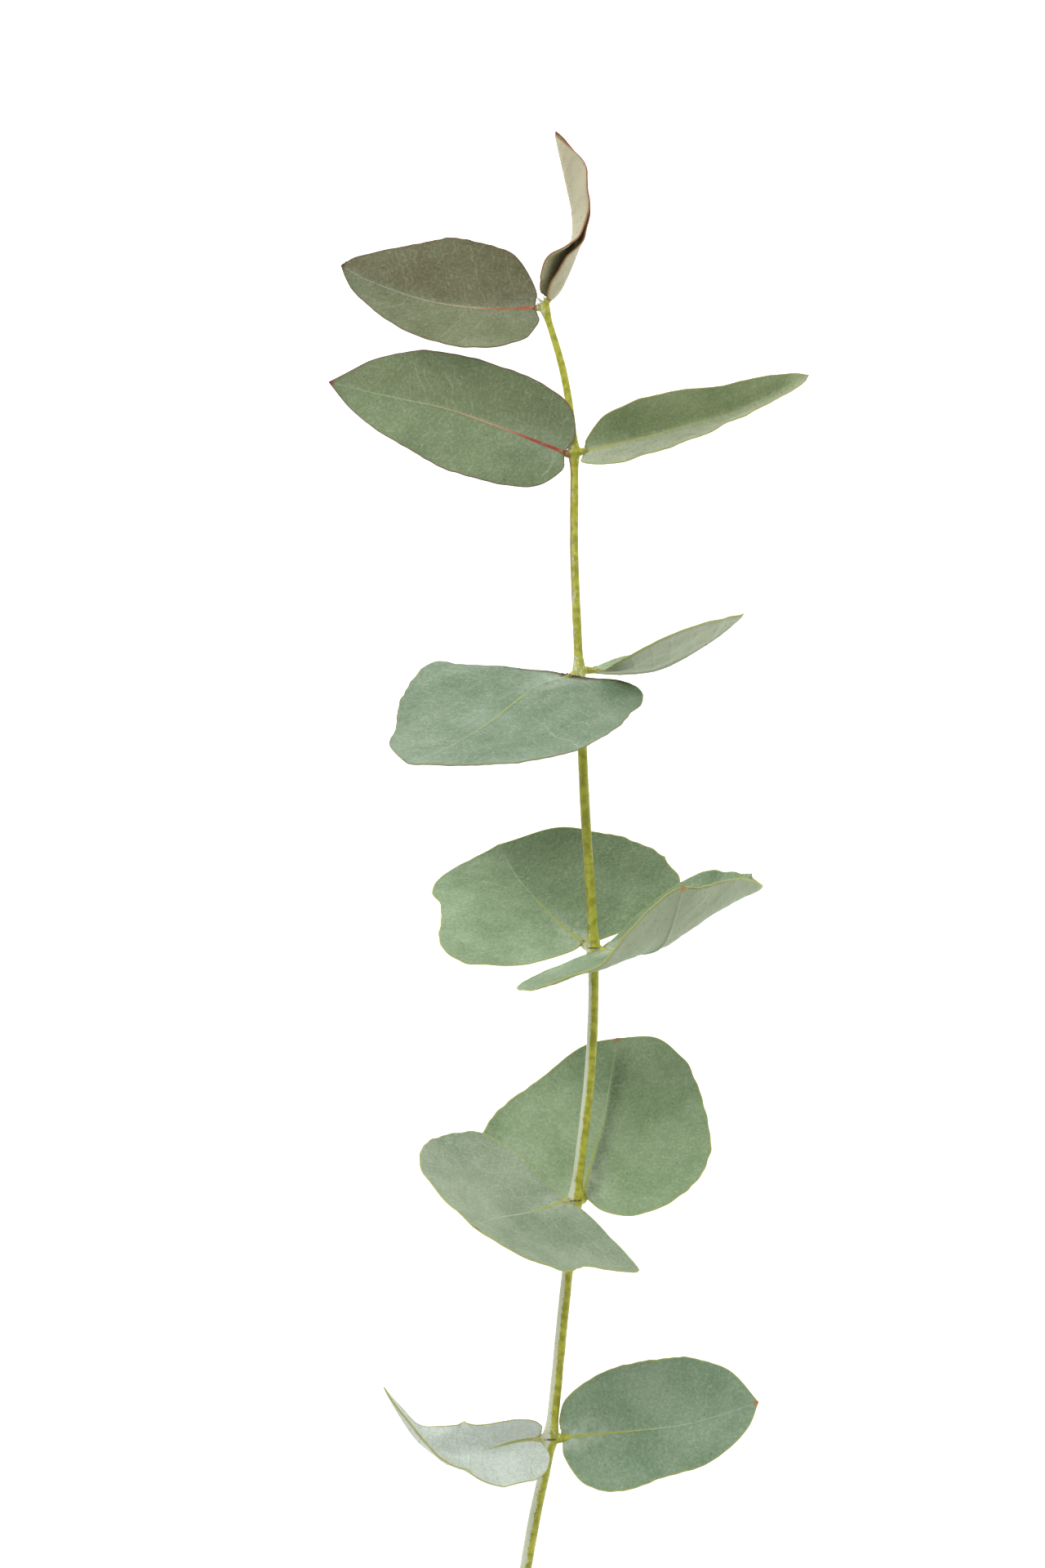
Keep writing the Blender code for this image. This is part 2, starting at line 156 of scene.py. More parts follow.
def smooth_route(points, step):
    """Points on the Catmull-Rom curve through the given ones, and the share of the way at each.

    Between two points the curve is a cubic whose slope at each is half the chord of its neighbours.
    """
    points = np.array(points, float)
    padded = np.vstack([2 * points[0] - points[1], points, 2 * points[-1] - points[-2]])
    route = []
    for a, b, c, d in zip(padded, padded[1:], padded[2:], padded[3:]):
        count = max(2, round(np.linalg.norm(c - b) / step))
        t = (np.arange(count) / count)[:, None]
        squared = (2 * a - 5 * b + 4 * c - d) * t**2
        cubed = (3 * b - a - 3 * c + d) * t**3
        route.append(0.5 * (2 * b + (c - a) * t + squared + cubed))
    route = np.vstack(route + [points[-1:]])
    run = np.concatenate([[0], np.cumsum(np.linalg.norm(np.diff(route, axis=0), axis=1))])
    return route, run / run[-1]


stem_line, stem_share = smooth_route(STEM_POINTS, 0.5)
print("stem length, mm:", round(float(np.sum(np.linalg.norm(np.diff(stem_line, axis=0), axis=1))), 1))

# %% [markdown]
# Each leaf is told by a few numbers that a gardener could read off it: the route of its midrib from
# its foot to its tip, counted from its pair's place on the stem, where its upper face looks, a few
# points of each half's margin on the flat blade, how far the half is folded up from flat, and how much
# it cups. A face is a compass angle and a height above level, and a margin point is how far along the
# midrib and how far off it. The two halves are seldom alike.

# %% Every leaf's shape
LEAVES = {
    "leaf_1_left": dict(
        pair=1,
        rib=[(-1.8, -0.3, 0.3), (-11, -0.5, 0.5), (-22.7, 1.1, -1), (-34.4, 5.2, -3), (-40.4, 8.6, -5)],
        face=[(90, 90), (90, 90)],
        left=[(-0.6, 3.5), (2, 8.5), (6.5, 11.6), (12, 12.8), (17.5, 12.2), (24, 10.3), (34, 4.9)],
        right=[(-0.2, 3.5), (3, 10), (7, 12.2), (15, 13.3), (21, 12.8), (29, 9.2), (38, 3.8)],
        fold_left=[43, 42], fold_right=[10, 10],
        cup_left=[15, 15], cup_right=[15, 15],
    ),
    "leaf_1_right": dict(
        pair=1,
        rib=[(0.9, 1.5, 0.6), (3.2, 4.4, 1), (6.1, 11.5, 2),
             (6.1, 17.3, 2.5), (5, 23, 3), (2.3, 34.2, 3)],
        face=[(180, 77), (180, 83), (0, 76), (0, 64), (0, 53), (0, 53)],
        left=[(0.1, 3), (2, 7), (6, 9.6), (11, 10), (17, 9.4), (25, 8.7), (31, 4.2)],
        right=[(0.1, 2.6), (2, 4.8), (6, 5.8), (12, 6.4), (19, 6.4), (27, 5), (32, 2)],
        fold_left=[72, 73, 91, 94, 94], fold_right=[104, 104, 92, 94, 94],
        cup_left=[6, 0, -8], cup_right=[6, 0, -8],
    ),
    "leaf_2_left": dict(
        pair=2,
        rib=[(-1.8, -0.3, 1.2), (-10.1, 3.0, 1), (-24, 8.2, -1.5),
             (-36, 11.2, -6.5), (-48.75, 14.5, -13.2)],
        face=[(90, 90), (90, 90)],
        left=[(-0.8, 3.5), (2.5, 8.2), (8, 10.7), (16, 11.8), (23, 11.6), (35, 8.4), (45, 4.4)],
        right=[(-0.7, 4), (2, 8.8), (7, 11.1), (14, 11.7), (27, 11), (33, 10.2), (43, 6.4)],
        fold_left=[8, 8], fold_right=[14, 12],
        cup_left=[12, 12], cup_right=[12, 12],
    ),
    "leaf_2_right": dict(
        pair=2,
        rib=[(2.1, 0.1, 0), (12.6, 2.4, 0), (22.1, 5.2, -1.5), (33.3, 8.8, -5.5), (47.05, 15.9, -13.4)],
        face=[(90, 90), (90, 90)],
        left=[(1, 2.6), (4.5, 6.8), (9, 9.2), (15, 10), (24, 8.1), (36, 5.7), (46, 2.5)],
        right=[(-1, 3.5), (2.5, 6.5), (8, 8.5), (15, 9), (24, 8), (36, 5.5), (46, 2.4)],
        fold_left=[36, 36], fold_right=[58, 68, 84, 84],
        cup_left=[20, 20], cup_right=[10, 0],
    ),
    "leaf_3_left": dict(
        pair=3,
        rib=[(-2.2, -1, 2.9), (-9, -3.6, 8), (-17.5, -10.2, 16),
             (-25.5, -15.2, 23.5), (-33.1, -18.1, 29.5)],
        face=[(88, 26), (92, 34)],
        left=[(-3.2, 3.9), (-6.6, 9.6), (-5, 16.4), (2.2, 23.4),
              (11, 26.2), (21, 26.3), (31, 21), (38, 10)],
        right=[(0.6, 3.5), (4, 9), (8.5, 20), (10, 25.2), (15, 25), (24, 21.8), (34, 14.5), (42, 8.5)],
        fold_left=[1, 6, 14], fold_right=[-6, -6, -6],
        cup_left=[10, 10], cup_right=[0, 0],
    ),
    "leaf_3_right": dict(
        pair=3,
        rib=[(2.3, 0.5, -1.2), (9.3, 0.1, 1.8), (16.5, 1.2, 5), (25.6, 6.2, 8.5), (31.8, 11, 10.5)],
        face=[(116, 0), (116, 0)],
        left=[(1.2, 4.6), (3.8, 8.8), (9, 14.2), (14, 15), (19.5, 14.2), (25, 11.4), (30, 6.2)],
        right=[(3, 2.6), (7, 8), (12, 14.4), (16, 17), (21, 17), (26, 15), (31, 8.6)],
        fold_left=[7, 7], fold_right=[14, 14],
        cup_left=[5, 5], cup_right=[5, 5],
    ),
    "leaf_4_left": dict(
        pair=4,
        rib=[(-1.8, 0.6, -1.8), (-6.7, 4.5, -6), (-14.2, 12.3, -15), (-18.7, 19.6, -22.8)],
        face=[(90, 45), (90, 50)],
        left=[(-0.2, 3.5), (1.2, 10), (5, 19), (7.5, 24),
              (13, 24.3), (21, 18.2), (24.5, 17.8), (28.5, 12.6)],
        right=[(-1.8, 3.8), (-4.5, 14), (-4.5, 20.5), (-1, 24.2),
               (6, 25.8), (13, 24.4), (25, 19.2), (31.5, 12.5)],
        fold_left=[5, 5], fold_right=[2, 5],
        cup_left=[10, 10], cup_right=[10, 10],
    ),
    "leaf_4_right": dict(
        pair=4,
        rib=[(1.6, -0.4, 2.8), (6.6, -0.6, 12), (12.9, 1.4, 22), (16.7, 12.3, 30)],
        face=[(114, 8), (114, -20), (112, -58)],
        left=[(-0.8, 5), (-1, 13), (2.5, 20.5), (8, 26), (14, 28.6), (20, 29.4), (27, 28), (34, 17)],
        right=[(-3, 6), (-4, 15), (0, 20), (8, 19.6), (14, 17.6), (28, 12), (35, 3.4)],
        fold_left=[12, 14, 18, 22, 32], fold_right=[0, -8, -30],
        cup_left=[10, 10], cup_right=[6, 0],
    ),
    "leaf_5_left": dict(
        pair=5,
        rib=[(-1.8, -0.2, 2.2), (-9.2, -1.9, 10), (-15.4, -2.2, 20), (-19.8, -2.7, 32)],
        face=[(63, 20), (63, 18)],
        left=[(-1.2, 3.5), (-0.5, 11), (1.5, 20.5), (3.2, 23.8), (8, 21.4),
              (14, 18.2), (26, 19), (31.5, 16.8), (35.5, 8.5)],
        right=[(0.3, 6), (0.2, 14), (3, 21), (7, 23.5), (13, 23.7), (20, 21.8), (26, 17), (31, 9)],
        fold_left=[0, 0], fold_right=[0, 0],
        cup_left=[6, 6], cup_right=[10, 10],
    ),
    "leaf_5_right": dict(
        pair=5,
        rib=[(1.6, 0.4, -2.4), (2.7, 4.8, -5.5), (5.8, 15.5, -13), (7.5, 24.5, -18), (8.5, 30.7, -20)],
        face=[(90, 60), (90, 80)],
        left=[(-1.5, 5), (0, 12), (4, 20), (8.5, 22.4), (17, 18.6), (26, 12.4), (33, 6.6)],
        right=[(-2.8, 4.5), (-3, 10.5), (0.5, 17.5), (6, 21.4), (14, 22.5),
               (22, 20), (31, 15.8), (33.8, 13.1), (37, 7.5)],
        fold_left=[0, 5], fold_right=[5, 5],
        cup_left=[8, 8], cup_right=[10, 10],
    ),
    "leaf_6_left": dict(
        pair=6,
        rib=[(-2, -0.1, 1.2), (-6.6, -0.5, 2.2), (-12.7, -2, 3.5),
             (-19.5, -3, 6), (-25.5, 0.8, 10.5), (-32.5, 11.8, 16)],
        face=[(90, 80), (90, 75), (80, 50), (45, 15), (33, 8)],
        left=[(-1.2, 4), (1, 8.2), (6, 10.3), (12, 10.9), (17, 10.7), (21, 8.2), (28, 3.4), (35, 1.8)],
        right=[(0, 3.6), (3, 6.4), (8, 7.9), (14, 8.5), (19, 8), (22.5, 6.4), (28, 3), (35, 1.4)],
        fold_left=[20, 30, 40, 40, 20], fold_right=[55, 60, 60, 30, 15],
        cup_left=[15, 5], cup_right=[15, 5],
    ),
    "leaf_6_right": dict(
        pair=6,
        rib=[(2.4, -0.1, 0.4), (7.6, 0.6, 1), (23.4, 2.2, 1.5), (31.4, 3.8, 1), (41.2, 6.9, 0)],
        face=[(90, 85), (90, 85)],
        left=[(0, 4), (2.5, 8.2), (9, 12.2), (15, 13.4), (22, 13.6), (29, 12.7), (36, 8)],
        right=[(0, 3.8), (2.8, 9), (7.5, 11.4), (12.5, 11.4), (18, 10), (27, 8.4), (35.5, 4.4)],
        fold_left=[6, 6], fold_right=[8, 8],
        cup_left=[8, 8], cup_right=[8, 8],
    ),
}
print(len(LEAVES), "leaves")

# %% [markdown]
# A blade is a surface of two parameters: u runs from the foot to the tip and v from the left margin
# through the midrib to the right margin. First comes the flat outline, then the midrib's route carries
# it through space, and then each half is folded and cupped about the midrib.

# %% The midrib's frame
FINE_STEP = 0.3


def along_list(shares, values):
    """A list's value at shares from 0 to 1, eased by 3t^2 - 2t^3 between its evenly spaced entries."""
    values = np.array(values, float)
    place = np.clip(shares, 0, 1) * (len(values) - 1)
    low = np.clip(np.floor(place).astype(int), 0, len(values) - 2)
    part = place - low
    part = part * part * (3 - 2 * part)
    if values.ndim == 2:
        part = part[..., None]
    return values[low] * (1 - part) + values[low + 1] * part


def facing(leaf, shares):
    """Where the upper face looks: a compass angle from +X towards +Y and a height above level."""
    heading, rise = np.radians(np.array(leaf["face"], float)).T
    level = np.cos(rise)
    looks = np.stack([level * np.cos(heading), level * np.sin(heading), np.sin(rise)], axis=1)
    return along_list(shares, looks)


def rib_frames(leaf, shares):
    """The midrib's points, directions and upper normals at shares of its length, and its length.

    The normal is the face's look less its part along the midrib. Beyond either end the midrib runs
    on straight.
    """
    route, run = smooth_route(leaf["rib"], FINE_STEP)
    route = route + PAIR_POINTS[leaf["pair"] - 1]
    length = np.sum(np.linalg.norm(np.diff(route, axis=0), axis=1))
    ahead = np.gradient(route, run, axis=0)
    clipped = np.clip(shares, 0, 1)

    def read(values):
        return np.stack([np.interp(clipped, run, values[:, k]) for k in range(3)], axis=-1)

    forward = unit(read(ahead))
    place = read(route) + (shares - clipped)[..., None] * length * forward
    look = facing(leaf, clipped)
    normal = unit(look - forward * np.sum(look * forward, axis=-1, keepdims=True))
    return place, forward, normal, length


print("first midrib, mm:", round(float(rib_frames(LEAVES["leaf_1_left"], np.zeros(1))[3]), 1))

# %% [markdown]
# The outline of a flat blade gets two kinds of small waves, so no margin is too smooth. Across the
# blade each half is a curve that turns quickly in a rounded valley at the midrib and gently from there.
# Where a leaf would reach below the surface that the branch lies on, it is pressed flat.

# %% The blade's outline and its surface
CURL_STEPS = 20
VALLEY_START = 0.35
VALLEY_SHARE = 0.3
SLOW_WAVES = (2, 3, 5)
WAVE_SHARE = 0.007
FINE_WAVES = (11, 19)
FINE_WAVE_SHARE = 0.0035
FOOT_HALF_WIDTH = 0.8
PRESS = 1.0
LOWEST_FACE = 0.70


def half_width(leaf, right):
    """How wide a half is at its widest."""
    widths = [max(side for _, side in leaf[half]) for half in ("left", "right")]
    return np.where(right, widths[1], widths[0])


def blade_outline(leaf, length, u, right):
    """A flat blade at u from foot to tip: how far along its midrib, and where its margin is.

    Along the midrib goes as (1 - cos pi u)/2, so the rows start and end at right angles to the margin.
    The margin of each half is the smooth line from the foot through the half's own points to the tip.
    """
    rib_along = length * (1 - np.cos(np.pi * u)) / 2
    margins = []
    for half in ("left", "right"):
        start = unit(np.array(leaf[half][0], float)) * FOOT_HALF_WIDTH
        points = [start, *leaf[half], (length, 0)]
        line, run = smooth_route(points, FINE_STEP)
        margins.append([np.interp(u, run, line[:, k]) for k in range(2)])
    along, side = [np.where(right, of_right, of_left) for of_left, of_right in zip(*margins)]
    return rib_along, along, np.maximum(side, 0)


def settled(points):
    """Points eased onto the surface where a blade would reach below it: a parabola, then a plane."""
    height = points[..., 2] - LOWEST_FACE
    soft = np.clip((height + PRESS) / (2 * PRESS), 0, 1) ** 2 * PRESS
    points[..., 2] = LOWEST_FACE + np.where(height > PRESS, height, soft)
    return points


def of_half(leaf, kind, share, right):
    """The fold or the cup in radians, at shares of the midrib, of the half that each point is on."""
    left_half, right_half = [along_list(share, leaf[kind + side]) for side in ("_left", "_right")]
    return np.radians(np.where(right, right_half, left_half))


def blade_surface(leaf, u, v, seed):
    """The upper face, and each point's flat place: along the midrib and off to its side.

    Across the blade, the angle to level is the fold times 0.35 at the midrib, rising to all of it in
    a rounded valley, plus the cup in step with the distance. Its cosine and sine, summed from the
    midrib, carry the point out and up.
    """
    length = rib_frames(leaf, np.zeros(1))[3]
    right = v > 0
    rib_along, margin_along, side = blade_outline(leaf, length, u, right)
    phases = np.random.default_rng(seed).uniform(0, 2 * np.pi, (3, 2))
    wave = sum(
        np.sin(2 * np.pi * k * u + phases[i][right.astype(int)]) / (i + 1)
        for i, k in enumerate(SLOW_WAVES)
    )
    fine = np.sin(2 * np.pi * FINE_WAVES[0] * u + phases[0, 0])
    fine = fine + np.sin(2 * np.pi * FINE_WAVES[1] * u + phases[1, 1] + 2 * right)
    side = side * (1 + (WAVE_SHARE * wave + FINE_WAVE_SHARE * fine) * np.sin(np.pi * u))
    reach = np.abs(v)
    along = rib_along + (margin_along - rib_along) * reach
    across = side * reach
    share = along / length
    place, ahead, normal, length = rib_frames(leaf, share)
    half = half_width(leaf, right)
    fold = of_half(leaf, "fold", share, right)
    cup = of_half(leaf, "cup", share, right)
    steps = np.linspace(0, 1, CURL_STEPS).reshape(-1, *[1] * u.ndim) * across / half
    valley = np.clip(steps / VALLEY_SHARE, 0, 1)
    angle = fold * (VALLEY_START + (1 - VALLEY_START) * valley * (2 - valley)) + cup * steps
    stride = across / (CURL_STEPS - 1)
    out = (np.cos(angle[1:]) + np.cos(angle[:-1])).sum(axis=0) / 2 * stride
    lift = (np.sin(angle[1:]) + np.sin(angle[:-1])).sum(axis=0) / 2 * stride
    points = place + np.cross(ahead, normal) * (np.sign(v) * out)[..., None] + normal * lift[..., None]
    return settled(points), along, np.sign(v) * across


print("right halves, widest, mm:", [float(half_width(leaf, True)) for leaf in LEAVES.values()])

# %% [markdown]
# Veins: side veins leave the midrib almost square near the foot and ever more steeply forward towards
# the tip, and each bends a little forward on its way. Every point of the blade lies on one such line.
# The place on the midrib where its line starts is found by halving an interval, for all points at once.
# That place, counted in veins, is kept with the mesh, so that relief and colour use the same veins.

# %% Which vein a point lies on
VEIN_SPACING = 3.4
VEIN_ANGLE = 82
VEIN_ANGLE_FALL = 46
VEIN_CURVE = 0.12
HALVINGS = 26


def vein_count(along, across, length, seed):
    """Where the side vein through each point starts, counted in veins along the midrib.

    The line from s leaves at an angle that falls evenly from 82 to 36 degrees over the midrib, so
    (along - s) sin(angle) = distance cos(angle) on it. The count adds two slow sines to s / spacing.
    """
    distance = np.abs(across) * (1 - VEIN_CURVE * np.abs(across) / np.max(np.abs(across)))
    low = np.full(along.shape, -0.9 * length)
    high = np.full(along.shape, 1.05 * length)
    for _ in range(HALVINGS):
        s = (low + high) / 2
        angle = np.radians(VEIN_ANGLE - VEIN_ANGLE_FALL * s / length)
        ahead = (along - s) * np.sin(angle) - distance * np.cos(angle) > 0
        low = np.where(ahead, s, low)
        high = np.where(ahead, high, s)
    a, b = np.random.default_rng(seed + 50).uniform(0, 6, 2)
    slow = 0.3 * np.sin(low / 4.1 + a)
    return low / VEIN_SPACING + slow + 0.18 * np.sin(low / 2.3 + b + (across > 0))


print("side veins are", VEIN_SPACING, "mm apart along the midrib")

# %% [markdown]
# The finished blade is one closed sheet: the upper face, the lower face a blade's thickness under it,
# thicker below the midrib, and a rounded rim. Both faces share one grid, so it is closed by joining
# the grid's edges. The tip is one point, where the grid's last row meets. The upper face gets a low
# relief: broad swells and small ripples away from the midrib, the raised midrib in a shallow groove,
# side veins a little sunk, and a slightly rolled margin.

# %% Make a fine blade
ROWS = 150
HALF_COLUMNS = 50
COLUMN_CROWDING = 1.25
BLADE = 0.38
TIP_BLADE = 0.2
RIB_BELOW = 0.62
RIB_ABOVE = 0.13
RIB_TIP_WIDTH = 0.16
RIB_WIDENING = 0.34
SWELL = 0.22
SWELL_SIZE = 9.0
RIPPLE = 0.07
RIPPLE_SIZE = 3.2
GROOVE = 0.05
GROOVE_WIDTH = 1.6
VEIN_WIDTH = 0.22
VEIN_SINK = 0.03
VEIN_BELOW = 0.05
ROLL = 0.06
ROLL_WIDTH = 0.35
RIM_BULGE = 0.3


def slow_waves(points, seed, size, count=7):
    """An uneven field: 1.6 times the mean of sines of random directions, each about size long."""
    rng = np.random.default_rng(seed)
    ways = unit(rng.normal(size=(count, 3))) * rng.uniform(0.7, 1.5, (count, 1)) * 2 * np.pi / size
    return np.sin(points @ ways.T + rng.uniform(0, 2 * np.pi, count)).mean(axis=-1) * 1.6


def grid_normals(points):
    """Unit normals of a grid of points, from the cross product of its two slopes."""
    normals = np.cross(np.gradient(points, axis=1), np.gradient(points, axis=0))
    normals[-1] = normals[-2]
    return unit(normals)


def hump(distance, width):
    """A rounded ridge: exp(-(distance / width)^2)."""
    return np.exp(-((distance / width) ** 2))


def distance_to(points, others, pieces):
    """From each point the distance to the nearest of the others, worked out in so many pieces."""
    near = [
        np.sqrt(((part[:, None] - others[None]) ** 2).sum(-1)).min(1)
        for part in np.array_split(points, pieces)
    ]
    return np.concatenate(near)


def fine_blade(leaf, seed):
    """Grids of the upper face, the lower face, and of four facts that the finish needs to know.

    The facts are the place counted in veins, the signed distance to the midrib, the distance to the
    margin, and the share of the way to the tip.
    """
    u = np.linspace(0, 1, ROWS)[:, None] * np.ones(2 * HALF_COLUMNS + 1)
    w = np.linspace(-1, 1, 2 * HALF_COLUMNS + 1)[None, :] * np.ones((ROWS, 1))
    v = np.sign(w) * np.abs(w) ** COLUMN_CROWDING
    points, along, across = blade_surface(leaf, u, v, seed)
    length = rib_frames(leaf, np.zeros(1))[3]
    margin = np.vstack([points[:, 0], points[:, -1]])
    to_margin = distance_to(points.reshape(-1, 3), margin, 20).reshape(u.shape)
    veins = vein_count(along, across, length, seed)
    share = along / length
    fade = np.clip(1 - share, 0, 1)
    rib = hump(across, RIB_TIP_WIDTH + RIB_WIDENING * fade) * fade**0.5
    vein = hump(np.abs(veins - np.round(veins)) * VEIN_SPACING, VEIN_WIDTH)
    away = np.clip(np.abs(across) / 3, 0, 1) * np.clip(u * 6, 0, 1)
    inside = np.clip(to_margin / 2, 0, 1)
    normals = grid_normals(points)
    relief = (
        SWELL * slow_waves(points, seed + 9, SWELL_SIZE) * away
        + RIPPLE * slow_waves(points, seed + 19, RIPPLE_SIZE) * away
        + RIB_ABOVE * rib - GROOVE * hump(across, GROOVE_WIDTH) * fade
        - VEIN_SINK * vein * away * inside
        + ROLL * hump(to_margin, ROLL_WIDTH)
    )
    upper = points + normals * relief[..., None]
    depth = BLADE * np.clip(0.55 + to_margin / 1.2, 0.55, 1)
    depth = depth + RIB_BELOW * rib * np.clip(to_margin / 0.8, 0, 1)
    depth = depth + VEIN_BELOW * vein * inside
    depth[-1] = depth[-2] = TIP_BLADE
    lower = upper - normals * depth[..., None]
    facts = np.stack([veins, across, to_margin, share], axis=-1)
    return upper, lower, facts


def halved(a, b, c, d):
    """Two triangles for each four-sided cell, from arrays of its corner numbers."""
    first, second = np.stack([a, b, c], -1), np.stack([a, c, d], -1)
    return np.concatenate([first.reshape(-1, 3), second.reshape(-1, 3)])


def blade_mesh(name, upper, lower, facts):
    """One closed mesh of an upper grid, a lower grid and a rounded rim between their edges."""
    rows, columns = upper.shape[:2]
    ring = np.concatenate([
        np.arange(columns),
        np.arange(1, rows - 1) * columns + columns - 1,
        [(rows - 1) * columns],
        np.arange(rows - 2, 0, -1) * columns,
    ])
    flat_upper, flat_lower = upper.reshape(-1, 3), lower.reshape(-1, 3)
    middle = (flat_upper[ring] + flat_lower[ring]) / 2
    through = flat_upper[ring] - flat_lower[ring]
    along_rim = unit(np.roll(middle, -1, axis=0) - np.roll(middle, 1, axis=0))
    outward = np.cross(along_rim, unit(through))
    middle = middle + outward * RIM_BULGE * np.linalg.norm(through, axis=1, keepdims=True)
    count = rows * columns
    number = np.arange(count).reshape(rows, columns)
    number[-1] = number[-1, 0]
    a, b, c, d = number[:-1, :-1], number[:-1, 1:], number[1:, 1:], number[1:, :-1]
    top = halved(a, b, c, d)
    distinct = (top[:, 0] != top[:, 1]) & (top[:, 1] != top[:, 2]) & (top[:, 2] != top[:, 0])
    top = top[distinct]
    bottom = top[:, ::-1] + count
    rim = 2 * count + np.arange(len(ring))
    after, rim_after = np.roll(ring, -1), np.roll(rim, -1)
    band = np.concatenate([
        halved(after, ring, rim, rim_after),
        halved(rim_after, rim, ring + count, after + count),
    ])
    triangles = np.concatenate([top, bottom, band])
    points = np.concatenate([flat_upper, flat_lower, middle]) * MM
    known = np.concatenate([facts.reshape(-1, 4), facts.reshape(-1, 4), facts.reshape(-1, 4)[ring]])
    under = np.concatenate([np.zeros(count), np.ones(count), np.full(len(ring), 0.5)])
    used = np.unique(triangles)
    renumber = np.zeros(len(points), int)
    renumber[used] = np.arange(len(used))
    mesh = closed_mesh(name, points[used], renumber[triangles])
    store(mesh, "veins", known[used][:, :3])
    store(mesh, "sides", np.stack([known[used][:, 3], under[used], np.zeros(len(used))], axis=-1))
    return mesh


def closed_mesh(name, points, triangles):
    """A mesh from an array of points and an array of triangles."""
    mesh = bpy.data.meshes.new(name)
    mesh.vertices.add(len(points))
    mesh.vertices.foreach_set("co", points.astype(np.float32).ravel())
    mesh.loops.add(3 * len(triangles))
    mesh.loops.foreach_set("vertex_index", triangles.astype(np.int32).ravel())
    mesh.polygons.add(len(triangles))
    mesh.polygons.foreach_set("loop_start", np.arange(0, 3 * len(triangles), 3, dtype=np.int32))
    mesh.update()
    mesh.validate()
    mesh.shade_smooth()
    return mesh


def store(mesh, name, values):
    """Three numbers at each vertex, under a name that a material can read."""
    layer = mesh.attributes.new(name, "FLOAT_VECTOR", "POINT")
    layer.data.foreach_set("vector", values.astype(np.float32).ravel())


print("each face of a blade has", ROWS, "x", 2 * HALF_COLUMNS + 1, "points")

# %% [markdown]
# Colour. A waxy leaf is a mid green under a thin pale bloom, which is uneven. In the finish, slow noise
# moves the tone over centimetres, a fine grain and a net of the smallest veins move it over half a
# millimetre, and the side veins and the midrib are drawn from the numbers kept with the mesh. Oil
# glands show as tiny dark specks. The margin is a hair line of yellow, red or brown.

# %% Helpers for finishes
def paint(red, green, blue):
    """A screen colour, 0 to 255, as the linear light that a shader mixes."""
    share = np.array([red, green, blue], float) / 255
    linear = np.where(share <= 0.04045, share / 12.92, ((share + 0.055) / 1.055) ** 2.4)
    return (*[float(x) for x in linear], 1.0)


def painted(look):
    """A look with its screen colours made linear, and its plain numbers as they are."""
    return {key: paint(*value) if isinstance(value, tuple) else value for key, value in look.items()}


def add(tree, kind, inputs, **settings):
    """A shader node with its settings made, and each input linked to a socket or given a value."""
    node = tree.nodes.new("ShaderNode" + kind)
    for key, value in settings.items():
        setattr(node, key, value)
    for key, value in inputs.items():
        if isinstance(value, bpy.types.NodeSocket):
            tree.links.new(value, node.inputs[key])
        else:
            node.inputs[key].default_value = value
    return node


def sums(tree, operation, a, b=0.0):
    """One step of arithmetic."""
    return add(tree, "Math", {0: a, 1: b}, operation=operation).outputs[0]


def times(tree, *values):
    """The product of several values."""
    product = values[0]
    for value in values[1:]:
        product = sums(tree, "MULTIPLY", product, value)
    return product


def eased(tree, value, low, high, start=0.0, end=1.0):
    """start below low, end above high, and a smooth step between."""
    return add(
        tree, "MapRange",
        {"Value": value, "From Min": low, "From Max": high, "To Min": start, "To Max": end},
        interpolation_type="SMOOTHSTEP",
    ).outputs[0]


def faded(tree, value, low, high):
    """1 below low, 0 above high, and a smooth step between."""
    return eased(tree, value, low, high, 1.0, 0.0)


def mixed(tree, share, a, b):
    """Two colours mixed: a where the share is 0, b where it is 1."""
    return add(tree, "Mix", {0: share, 6: a, 7: b}, data_type="RGBA").outputs[2]


def noise(tree, where, scale, detail=2.0, roughness=0.5):
    """Cloudy noise, about 0.5 in the mean, of so many lumps a metre."""
    return add(
        tree, "TexNoise", {"Vector": where, "Scale": scale, "Detail": detail, "Roughness": roughness}
    ).outputs["Fac"]


def cell_edges(tree, where, scale):
    """How far a place is from the edges of irregular cells, of so many a metre."""
    return add(
        tree, "TexVoronoi", {"Vector": where, "Scale": scale}, feature="DISTANCE_TO_EDGE"
    ).outputs["Distance"]


def stored(tree, name):
    """The three numbers kept with the mesh under a name."""
    kept = add(tree, "Attribute", {}, attribute_name=name).outputs["Vector"]
    return add(tree, "SeparateXYZ", {0: kept}).outputs


def wire(tree, shader, tone, gloss, height=None, depth=0.0):
    """Link the shader's colour, its roughness and, from a height, bumps of a depth in metres."""
    tree.links.new(tone, shader.inputs["Base Color"])
    tree.links.new(gloss, shader.inputs["Roughness"])
    if height is not None:
        bump = add(tree, "Bump", {"Height": height, "Strength": 0.6, "Distance": depth})
        tree.links.new(bump.outputs[0], shader.inputs["Normal"])


print("middle grey as linear light:", round(paint(128, 128, 128)[0], 4))

# %% [markdown]
# The tones are laid over each other in the order of the code: the upper face, a painted shade on its
# right half (on one leaf a painted sheen), a painted shade right of the midrib, bloom and veins, then
# the lower face, oil glands, midrib, margin, and last a scar or a coloured tip.

# %% The finish of a leaf
CLOUDS = 75.0
BLOTCHES = 260.0
GRAINS = 1700.0
VEIN_LOOPS = 430.0
VEIN_NET = 1250.0
GLANDS = 760.0
WAX = paint(206, 216, 198)
DUSK = (0.03, 0.035, 0.015, 1.0)
SHADE = paint(72, 88, 58)
GLAND = paint(72, 72, 52)
SCAR = paint(84, 66, 44)


